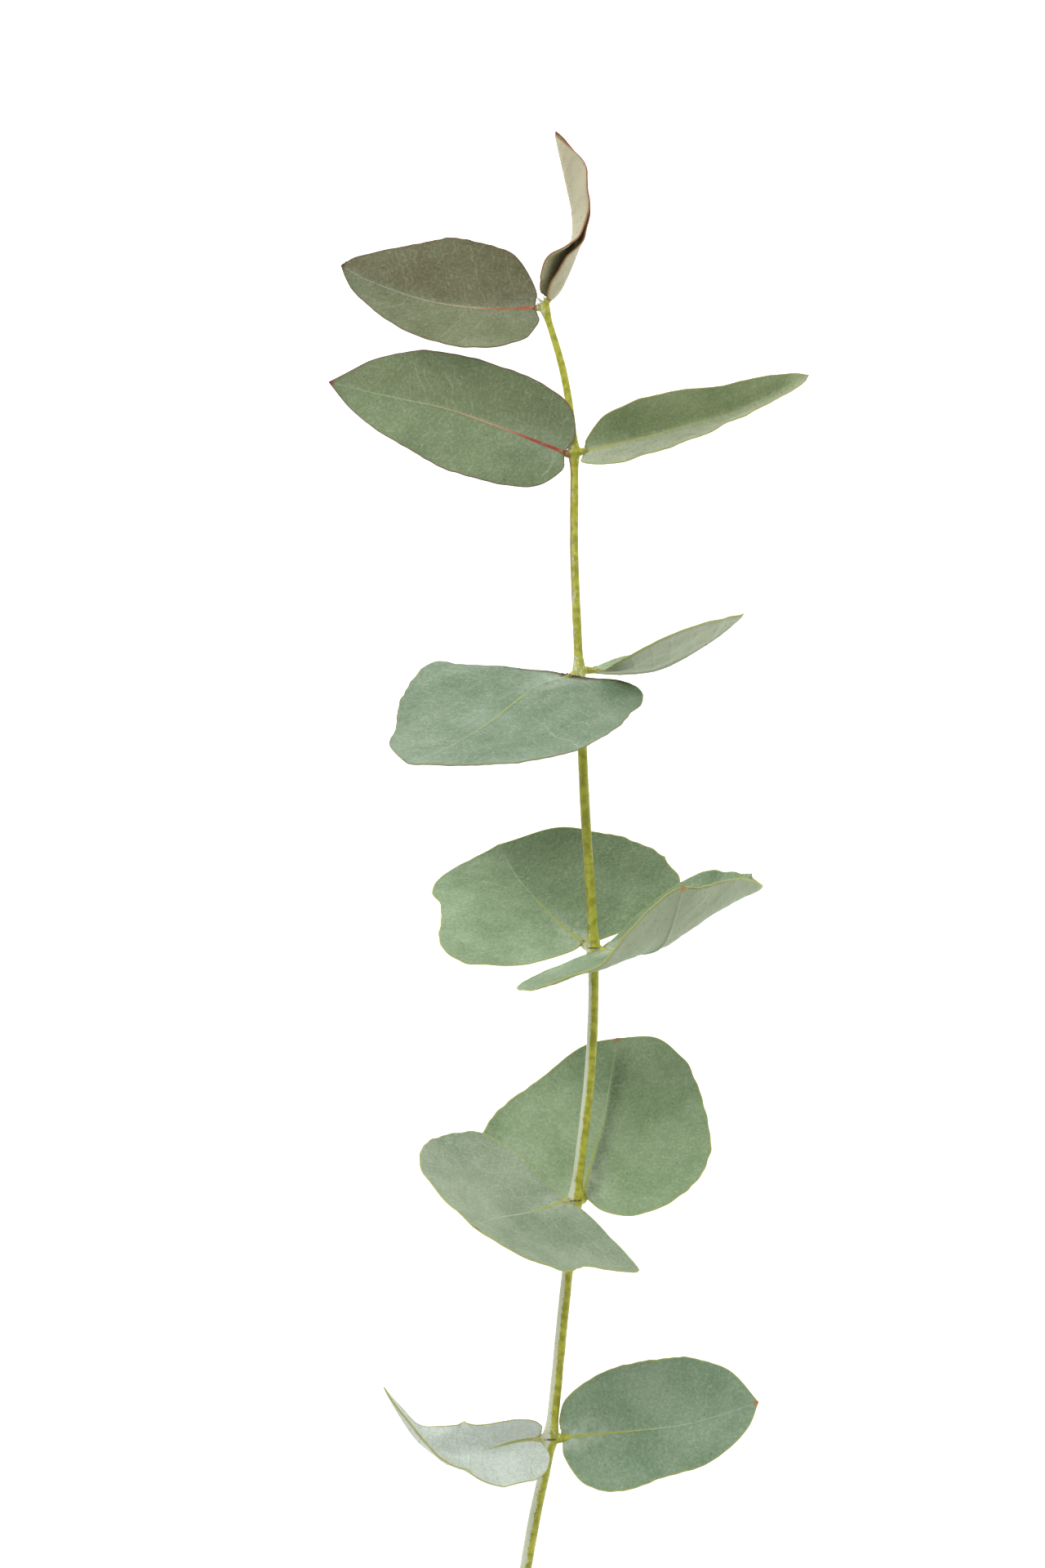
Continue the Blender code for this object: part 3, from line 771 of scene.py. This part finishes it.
def leaf_finish(name, light, dark, under, rib, margin, rib_reach=0.3, rib_from=0.0, rib_far=None,
                right_shade_and_sheen=None, right_shade_and_sheen_share=0.0, bloom=0.5, specks=0.4, scorch=0.0, crease_shade=0.0,
                tip=None):
    """A waxy leaf with veins.

    light and dark are the tones of the upper face, under that of the lower one. The midrib is rib
    from rib_from to rib_reach of its length, rib_far to about 0.6, and then pale. The right half
    leans to right_shade_and_sheen by right_shade_and_sheen_share: a painted shade where that tone is
    darker, a painted sheen where it is paler. bloom is the wax near the foot, specks the oil glands,
    scorch a scar on the margin near the foot, crease_shade a painted shade right of the midrib, tip
    the tip's colour.
    """
    material, tree, shader = new_finish(name)
    where = add(tree, "TexCoord", {}).outputs["Object"]
    count, signed, to_margin = stored(tree, "veins")
    share, below, _ = stored(tree, "sides")
    across = sums(tree, "ABSOLUTE", signed)
    cloud = noise(tree, where, CLOUDS, 3.0, 0.55)
    blotch = noise(tree, where, BLOTCHES, 4.0, 0.65)
    grain = noise(tree, where, GRAINS, 3.0, 0.65)

    wobble = sums(tree, "SUBTRACT", noise(tree, where, BLOTCHES), 0.5)
    bent = sums(tree, "ADD", count, times(tree, wobble, 0.6))
    clear_of_rim = eased(tree, to_margin, 0.5, 2.0)
    patchy = eased(tree, noise(tree, where, 130.0, 1.0), 0.34, 0.6)
    side_vein = faded(tree, sums(tree, "PINGPONG", bent, 0.5), 0.012, 0.04)
    side_vein = times(tree, side_vein, patchy, clear_of_rim)
    small_vein = faded(tree, sums(tree, "PINGPONG", times(tree, bent, 3.0), 0.5), 0.03, 0.09)
    here_and_there = eased(tree, noise(tree, where, 300.0, 1.0), 0.45, 0.62)
    small_vein = times(tree, small_vein, here_and_there, clear_of_rim)
    loops = faded(tree, cell_edges(tree, where, VEIN_LOOPS), 0.01, 0.035)
    loops = times(tree, loops, eased(tree, blotch, 0.42, 0.6), clear_of_rim)
    net = faded(tree, cell_edges(tree, where, VEIN_NET), 0.02, 0.16)

    tone = mixed(tree, eased(tree, cloud, 0.24, 0.76), dark, light)
    # Painted light on the right half: a darker tone there is painted shade, a paler one a painted sheen.
    if right_shade_and_sheen:
        shade_and_sheen_on_right = eased(tree, signed, -0.9, 1.5, 0.0, right_shade_and_sheen_share)
        shade_and_sheen_on_right = times(tree, shade_and_sheen_on_right, eased(tree, blotch, 0.25, 0.6, 0.6, 1.0))
        tone = mixed(tree, shade_and_sheen_on_right, tone, right_shade_and_sheen)
    tone = mixed(tree, eased(tree, blotch, 0.3, 0.5, 0.22, 0.0), tone, dark)
    # Painted shade: a darker band just right of the midrib, fading out towards the tip.
    if crease_shade:
        shade = times(tree, eased(tree, signed, 0.1, 0.8), eased(tree, signed, 0.8, 4.0, crease_shade, 0.0),
                      faded(tree, share, 0.7, 1.0))
        tone = mixed(tree, shade, tone, SHADE)
    tone = mixed(tree, times(tree, net, 0.16), tone, light)
    tone = mixed(tree, eased(tree, grain, 0.35, 0.7, 0.2, 0.0), tone, DUSK)
    tone = mixed(tree, eased(tree, grain, 0.5, 0.75, 0.0, 0.14), tone, WAX)
    near_foot = times(tree, faded(tree, share, 0.0, 0.4), faded(tree, across, 0.2, 5.0))
    powder = eased(tree, noise(tree, where, 420.0, 4.0, 0.7), 0.3, 0.7)
    tone = mixed(tree, times(tree, near_foot, powder, bloom), tone, WAX)
    for mark, strength in ((side_vein, 0.2), (small_vein, 0.11), (loops, 0.09)):
        tone = mixed(tree, times(tree, mark, strength), tone, WAX)

    lower_tone = mixed(tree, eased(tree, cloud, 0.3, 0.7), under, mixed(tree, 0.3, under, light))
    lower_tone = mixed(tree, times(tree, net, 0.18), lower_tone, light)
    lower_tone = mixed(tree, eased(tree, grain, 0.4, 0.75, 0.16, 0.0), lower_tone, dark)
    lower_tone = mixed(tree, times(tree, side_vein, 0.24), lower_tone, WAX)
    tone = mixed(tree, eased(tree, below, 0.35, 0.65), tone, lower_tone)

    speck = add(tree, "TexVoronoi", {"Vector": where, "Scale": GLANDS}, feature="F1")
    chosen = eased(tree, noise(tree, speck.outputs["Position"], 2500.0, 0.0), 0.52, 0.56)
    dot = times(tree, faded(tree, speck.outputs["Distance"], 0.08, 0.2), chosen)
    tone = mixed(tree, times(tree, dot, specks), tone, GLAND)

    rib_half = eased(tree, share, -0.35, 0.55, 0.62, 0.13)
    on_rib = faded(tree, sums(tree, "DIVIDE", across, rib_half), 0.5, 1.1)
    rib_tone = mixed(tree, 0.5, light, WAX)
    if rib_far:
        rib_tone = mixed(tree, faded(tree, share, 0.4, 0.75), rib_tone, rib_far)
    rib_tone = mixed(tree, faded(tree, share, rib_reach * 0.4, rib_reach), rib_tone, rib)
    rib_mark = times(
        tree, on_rib, eased(tree, noise(tree, where, 900.0), 0.3, 0.5, 0.5, 0.95),
        eased(tree, share, 0.35, 1.0, 1.0, 0.35), eased(tree, share, rib_from - 0.1, rib_from, 0.0, 1.0)
    )
    tone = mixed(tree, rib_mark, tone, rib_tone)

    edge = times(tree, faded(tree, to_margin, 0.06, 0.3), eased(tree, cloud, 0.3, 0.5, 0.5, 0.9))
    tone = mixed(tree, edge, tone, margin)
    if scorch:
        band = sums(tree, "SUBTRACT", to_margin, times(tree, blotch, 2.6))
        band = times(tree, faded(tree, band, -0.9, 0.1), eased(tree, share, 0.0, 0.24, scorch, 0.0),
                     faded(tree, across, 7.0, 14.0))
        tone = mixed(tree, band, tone, SCAR)
    if tip:
        at_tip = times(tree, eased(tree, share, 0.965, 0.985), faded(tree, across, 0.2, 0.7), 0.8)
        tone = mixed(tree, at_tip, tone, tip)
    shader.inputs["Specular IOR Level"].default_value = 0.35

    height = sums(tree, "ADD", times(tree, net, 0.35), times(tree, grain, 0.8))
    height = sums(tree, "ADD", height, sums(tree, "ADD", side_vein, times(tree, loops, 0.6)))
    height = sums(tree, "ADD", height, times(tree, blotch, 2.6))
    wire(tree, shader, tone, eased(tree, grain, 0.3, 0.7, 0.62, 0.5), height, 0.00014)
    return material


print("noise and cells, a metre:", CLOUDS, BLOTCHES, GRAINS, VEIN_LOOPS, VEIN_NET, GLANDS)

# %% [markdown]
# Most leaves are grey-green. The two youngest pairs are olive with red or brown margins, the leaf of
# pair 3 that comes forward has a scar, and the curled one at the bottom is nearly white. A painted shade
# darkens the right halves of leaf_1_left, leaf_2_left and leaf_4_left, a painted sheen lightens that of
# leaf_2_right, and a painted shade lies right of the midrib of leaf_5_right.

# %% Every leaf's colours
GREEN = dict(
    light=(164, 186, 152), dark=(124, 150, 112), under=(176, 181, 152),
    rib=(172, 180, 84), margin=(182, 182, 88),
)
FINISHES = {
    "leaf_1_left": dict(
        GREEN, light=(152, 160, 124), dark=(114, 122, 88), rib=(186, 100, 70), rib_reach=0.34,
        rib_far=(190, 174, 136), margin=(118, 88, 72), bloom=0.2, specks=0.6, tip=(92, 44, 50),
        # painted shade: the right half darkened towards a brown olive
        right_shade_and_sheen=(118, 106, 74), right_shade_and_sheen_share=0.6,
    ),
    "leaf_1_right": dict(
        GREEN, light=(188, 184, 144), dark=(150, 146, 108), under=(186, 180, 152),
        margin=(160, 96, 58), bloom=0.2, tip=(110, 60, 44),
    ),
    "leaf_2_left": dict(
        GREEN, light=(142, 160, 118), dark=(112, 132, 92), rib=(172, 62, 50),
        rib_far=(200, 156, 128), margin=(122, 84, 78), bloom=0.2, specks=0.55, tip=(136, 50, 58),
        # painted shade: the right half darkened
        right_shade_and_sheen=(122, 126, 88), right_shade_and_sheen_share=0.35,
    ),
    "leaf_2_right": dict(
        GREEN, light=(172, 188, 142), dark=(138, 156, 108), margin=(176, 172, 96),
        # painted sheen: the right half made paler
        rib=(190, 190, 120), rib_reach=1.4, bloom=0.2, right_shade_and_sheen=(214, 220, 196), right_shade_and_sheen_share=0.8,
    ),
    "leaf_3_left": dict(
        GREEN, light=(146, 168, 140), dark=(104, 130, 98), margin=(150, 146, 104),
        rib_from=0.3, rib_reach=0.9, scorch=0.85,
    ),
    "leaf_3_right": dict(GREEN, under=(176, 180, 152), bloom=0.3),
    "leaf_4_left": dict(
        GREEN, light=(176, 198, 162), dark=(132, 158, 116), bloom=0.8, rib_reach=0.8,
        # painted shade: the right half darkened
        right_shade_and_sheen=(112, 136, 94), right_shade_and_sheen_share=0.5,
    ),
    "leaf_4_right": dict(GREEN, under=(163, 173, 140), bloom=0.8, tip=(196, 128, 62)),
    "leaf_5_left": dict(GREEN, light=(172, 187, 158), dark=(134, 154, 124), rib_reach=0.45, bloom=0.6),
    "leaf_5_right": dict(
        GREEN, light=(168, 190, 152), dark=(134, 160, 116), rib_reach=0.8, bloom=0.7,
        # painted shade right of the midrib
        crease_shade=0.55, tip=(196, 116, 70),
    ),
    "leaf_6_left": dict(
        GREEN, light=(238, 246, 238), dark=(220, 232, 220), rib_reach=0.35, specks=0.2,
    ),
    "leaf_6_right": dict(
        GREEN, light=(162, 186, 154), dark=(124, 152, 116), rib_reach=0.6,
        rib_far=(196, 204, 160), bloom=0.7, tip=(196, 110, 50),
    ),
}
print("finishes for", len(FINISHES), "leaves")

# %% [markdown]
# Each leaf is made with the functions above, wears its own finish, moves with the branch and stands
# for the plain solid of its name.

# %% Make the twelve leaves
for seed, (name, leaf) in enumerate(LEAVES.items()):
    upper, lower, facts = fine_blade(leaf, seed)
    blade = new_object("fine_" + name, blade_mesh("fine_" + name, upper, lower, facts))
    blade.data.materials.append(leaf_finish("waxy_" + name, **painted(FINISHES[name])))
    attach(blade, "root")
    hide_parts(name)
    print(blade.name, len(blade.data.polygons), "triangles")

# %% [markdown]
# The stem thickens from the tip to the cut and swells at each pair of leaves, where two stalks grow
# out of it. Rings along the route make it, more tubes make the stalks, and a voxel remesh melts all
# of them into one skin, as they are on a living stem, before a few rounds of smoothing.

# %% Make the stem
CUT_RADIUS = 1.22
TIP_RADIUS = 0.62
NODE_SWELL = 0.45
NODE_REACH = 2.2
UNEVEN = 0.03
STALK_RADIUS = 0.55
STALK_GROWTH = 0.1
STALK_BEND = 0.8
STALK_RUN_IN = 2.2
FOOT_DEPTH = 0.3
END_DEPTH = 0.42
STALK_SHARES = [0, 0.3, 0.6, 1]
STALK_TAPER = [1.4, 1.2, 0.95, 0.45]
SKIN = 0.17
SMOOTHING = 4


def ring_tube(route, radii, sides=32):
    """Points and triangles of a closed tube: circles square to the route, and a fan at either end."""
    ahead = unit(np.gradient(route, axis=0))
    side = unit(np.cross(ahead, [0.0, 0.0, 1.0]))
    up = np.cross(side, ahead)
    angles = np.arange(sides) * 2 * np.pi / sides
    rings = route[:, None] + radii[:, None, None] * (
        np.cos(angles)[None, :, None] * side[:, None] + np.sin(angles)[None, :, None] * up[:, None]
    )
    count = len(route) * sides
    points = np.concatenate([rings.reshape(-1, 3), route[:1], route[-1:]])
    number = np.arange(count).reshape(len(route), sides)
    a, b = number[:-1], np.roll(number, -1, axis=1)[:-1]
    c, d = np.roll(number, -1, axis=1)[1:], number[1:]
    walls = [np.stack([a, c, b], -1).reshape(-1, 3), np.stack([a, d, c], -1).reshape(-1, 3)]
    first, last = number[0], number[-1]
    caps = [
        np.stack([first, np.roll(first, -1), np.full(sides, count)], -1),
        np.stack([np.roll(last, -1), last, np.full(sides, count + 1)], -1),
    ]
    return points, np.concatenate(walls + caps)


def joined(parts):
    """Several (points, triangles) as one."""
    starts = np.cumsum([0] + [len(points) for points, _ in parts[:-1]])
    triangles = np.concatenate([part[1] + start for part, start in zip(parts, starts)])
    return np.concatenate([points for points, _ in parts]), triangles


to_pair = np.linalg.norm(stem_line[:, None] - PAIR_POINTS[None], axis=-1).min(axis=1)
stem_radii = TIP_RADIUS + (CUT_RADIUS - TIP_RADIUS) * stem_share**0.6
stem_radii = stem_radii + NODE_SWELL * hump(to_pair, NODE_REACH)
stem_radii = stem_radii * (1 + UNEVEN * slow_waves(stem_line, 3, 6.0))
parts = [ring_tube(stem_line, stem_radii)]
for leaf in LEAVES.values():
    start = PAIR_POINTS[leaf["pair"] - 1]
    foot, aim, look, length = rib_frames(leaf, np.array([0.0]))
    inner, _, inner_look, _ = rib_frames(leaf, np.array([STALK_RUN_IN / length]))
    end = inner[0] - inner_look[0] * END_DEPTH
    near_foot = foot[0] - look[0] * FOOT_DEPTH
    bend = near_foot - aim[0] * STALK_BEND
    line, share = smooth_route([start, (start + bend) / 2, bend, near_foot, end], 0.15)
    thick = STALK_RADIUS * (1 + STALK_GROWTH * leaf["pair"])
    parts.append(ring_tube(line, thick * np.interp(share, STALK_SHARES, STALK_TAPER), 20))
points, triangles = joined(parts)
rough = new_object("rough_stem", closed_mesh("rough_stem", points * MM, triangles))
melt = rough.modifiers.new("melt", "REMESH")
melt.mode = "VOXEL"
melt.voxel_size = SKIN * MM
smooth = rough.modifiers.new("smooth", "SMOOTH")
smooth.factor = 0.5
smooth.iterations = SMOOTHING
bpy.context.view_layer.update()
melted = rough.evaluated_get(bpy.context.evaluated_depsgraph_get())
stem_mesh = bpy.data.meshes.new_from_object(melted)
bpy.data.objects.remove(rough)
stem_mesh.name = "fine_stem"
stem_mesh.shade_smooth()
stem = new_object("fine_stem", stem_mesh)
print("stem:", len(stem_mesh.polygons), "faces")

# %% [markdown]
# The stem's skin is lime green, tinged red or purple on young stretches, and its left side and its older
# end wear a white powder that is rubbed off in places. Each point is told how far down the stem it lies,
# how far it is to the right of the route and how far off it, in radii, and which pair of leaves is
# nearest and how far away. How red the skin is, how much powder it has and how far the powder keeps to
# the left change down the stem, from stop to stop. At the older pairs a dark slit marks each bud.

# %% The finish of the stem
SKIN_GREEN = (paint(156, 158, 32), paint(190, 190, 62))
RED_TINGE = paint(118, 66, 44)
STALK_RED = paint(168, 82, 58)
POWDER = paint(218, 224, 206)
FLECK = paint(96, 88, 50)
SLIT = paint(70, 62, 40)
RED_REACH = [(0.0, 0.0), (0.1, 0.1), (0.12, 0.95), (0.2, 0.9), (0.24, 0.3), (0.3, 0.0),
             (0.4, 0.5), (0.48, 0.4), (0.5, 0.0), (0.66, 0.0), (0.7, 0.3), (1.0, 0.1)]
POWDER_AMOUNT = [(0.0, 0.26), (0.12, 0.3), (0.2, 0.46), (0.3, 0.3), (0.48, 0.2),
                 (0.52, 0.46), (0.68, 0.56), (0.72, 0.62), (0.88, 0.7), (1.0, 0.9)]
POWDER_LEANING = [(0.0, 0.15), (0.46, 0.1), (0.52, 1.0), (0.68, 1.0), (0.74, 0.6), (1.0, 0.5)]

skin_points = np.empty(len(stem_mesh.vertices) * 3, np.float32)
stem_mesh.vertices.foreach_get("co", skin_points)
skin_points = skin_points.reshape(-1, 3) / MM
nearest = np.concatenate([
    ((part[:, None] - stem_line[None]) ** 2).sum(-1).argmin(1)
    for part in np.array_split(skin_points, 60)
])
aside = (skin_points - stem_line[nearest])[:, 0] / stem_radii[nearest]
off_line = np.linalg.norm(skin_points - stem_line[nearest], axis=1) / stem_radii[nearest]
store(stem_mesh, "bark", np.stack([stem_share[nearest], aside, off_line], axis=-1))
pair_places = [np.linalg.norm(stem_line - point, axis=1).argmin() for point in PAIR_POINTS]
past_pair = skin_points[:, None, 1] - stem_line[pair_places, 1]
closest = np.abs(past_pair).argmin(axis=1)
past_pair = past_pair[np.arange(len(past_pair)), closest]
store(stem_mesh, "joints", np.stack([past_pair, closest / 5, np.zeros(len(past_pair))], axis=-1))


def ramp(tree, value, stops):
    """A value that goes from stop to stop in straight lines."""
    node = add(tree, "ValToRGB", {"Fac": value})
    elements = node.color_ramp.elements
    elements[0].position, elements[1].position = stops[0][0], stops[-1][0]
    for place, _ in stops[1:-1]:
        elements.new(place)
    for element, (_, height) in zip(elements, stops):
        element.color = (height, height, height, 1.0)
    return node.outputs["Color"]


def bark_finish():
    """Green skin, a red tinge, white powder that grows down the stem, and dark specks."""
    material, tree, shader = new_finish("powdered_bark")
    where = add(tree, "TexCoord", {}).outputs["Object"]
    share, aside, off_line = stored(tree, "bark")
    past_pair, which, _ = stored(tree, "joints")
    near_pair = faded(tree, sums(tree, "ABSOLUTE", past_pair), 0.5, 4.0)
    stretched = add(tree, "Mapping", {"Vector": where, "Scale": (1.0, 0.4, 1.0)}).outputs[0]
    streaks = noise(tree, stretched, 1400.0, 4.0, 0.8)
    flecks = noise(tree, where, 2600.0, 3.0, 0.7)
    lime = mixed(tree, eased(tree, noise(tree, where, 700.0), 0.35, 0.65), *SKIN_GREEN)
    reach = ramp(tree, share, RED_REACH)
    red = times(tree, reach, faded(tree, aside, -0.85, -0.3), eased(tree, streaks, 0.4, 0.6, 0.5, 0.9))
    young = times(tree, eased(tree, off_line, 1.15, 1.6), faded(tree, which, 0.15, 0.35),
                  eased(tree, aside, -0.9, 0.0, 0.75, 0.0))
    tone = mixed(tree, young, lime, STALK_RED)
    amount = ramp(tree, share, POWDER_AMOUNT)
    leaning = ramp(tree, share, POWDER_LEANING)
    leaning = times(tree, leaning, eased(tree, aside, -0.6, 0.2, 0.22, -0.45))
    powder = sums(tree, "ADD", sums(tree, "ADD", streaks, leaning), times(tree, amount, 0.45))
    powder = sums(tree, "ADD", powder, times(tree, near_pair, 0.1))
    powder = times(tree, eased(tree, powder, 0.71, 0.84), eased(tree, off_line, 1.3, 1.7, 1.0, 0.3))
    tone = mixed(tree, times(tree, powder, 0.85), tone, POWDER)
    tone = mixed(tree, red, tone, RED_TINGE)
    tone = mixed(tree, times(tree, eased(tree, flecks, 0.62, 0.7), 0.65), tone, FLECK)
    from_slit = sums(tree, "ABSOLUTE", sums(tree, "ADD", past_pair, 0.3))
    slit = times(tree, faded(tree, from_slit, 0.1, 0.3),
                 faded(tree, sums(tree, "ABSOLUTE", aside), 0.5, 0.9),
                 eased(tree, which, 0.5, 0.58), eased(tree, streaks, 0.35, 0.55, 0.3, 0.9))
    tone = mixed(tree, slit, tone, SLIT)
    height = sums(tree, "ADD", streaks, times(tree, flecks, 0.6))
    wire(tree, shader, tone, eased(tree, powder, 0.0, 1.0, 0.45, 0.8), height, 0.00012)
    return material


stem_mesh.materials.append(bark_finish())
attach(stem, "root")
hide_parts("stem")
print("bark attribute on", len(skin_points), "points")

# %% [markdown]
# At the tip, between the youngest leaves, sit three tiny pale bracts, closed around the next bud. Each
# is a drop: circles along a short line that bends to the right, whose radius goes as a sine that is
# drawn out at the point.

# %% Make the tip bud
DROP_BEND = 0.12
DROP_POINT = 0.7


def drop(foot, aim, length, radius):
    """A pointed drop from its foot along its aim: radius sin(pi t^0.7) at t of the way."""
    t = np.linspace(0.02, 0.995, 22)
    line = np.array(foot) + unit(np.array(aim, float)) * length * t[:, None]
    line[:, 0] += DROP_BEND * length * np.sin(np.pi * t)
    return ring_tube(line, radius * np.sin(np.pi * t**DROP_POINT), 16)


tip = STEM_POINTS[0]
bud_points, bud_triangles = joined([
    drop(tip + (-0.2, 0.1, 0.2), (-0.62, 0.75, 0.1), 2.3, 0.34),
    drop(tip + (0.1, 0.2, 0.1), (-0.2, 0.95, 0.25), 2.0, 0.32),
    drop(tip + (-0.3, 0.0, 0.4), (-0.85, 0.4, 0.3), 1.5, 0.26),
])
bud = new_object("tip_bud", closed_mesh("tip_bud", bud_points * MM, bud_triangles))
bud_finish, tree, shader = new_finish("pale_bud")
where = add(tree, "TexCoord", {}).outputs["Object"]
tone = mixed(tree, noise(tree, where, 2500.0, 3.0), paint(176, 172, 140), paint(226, 226, 212))
wire(tree, shader, tone, eased(tree, noise(tree, where, 1800.0), 0.3, 0.7, 0.5, 0.75))
bud.data.materials.append(bud_finish)
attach(bud, "root")
print("tip bud:", len(bud.data.polygons), "triangles")
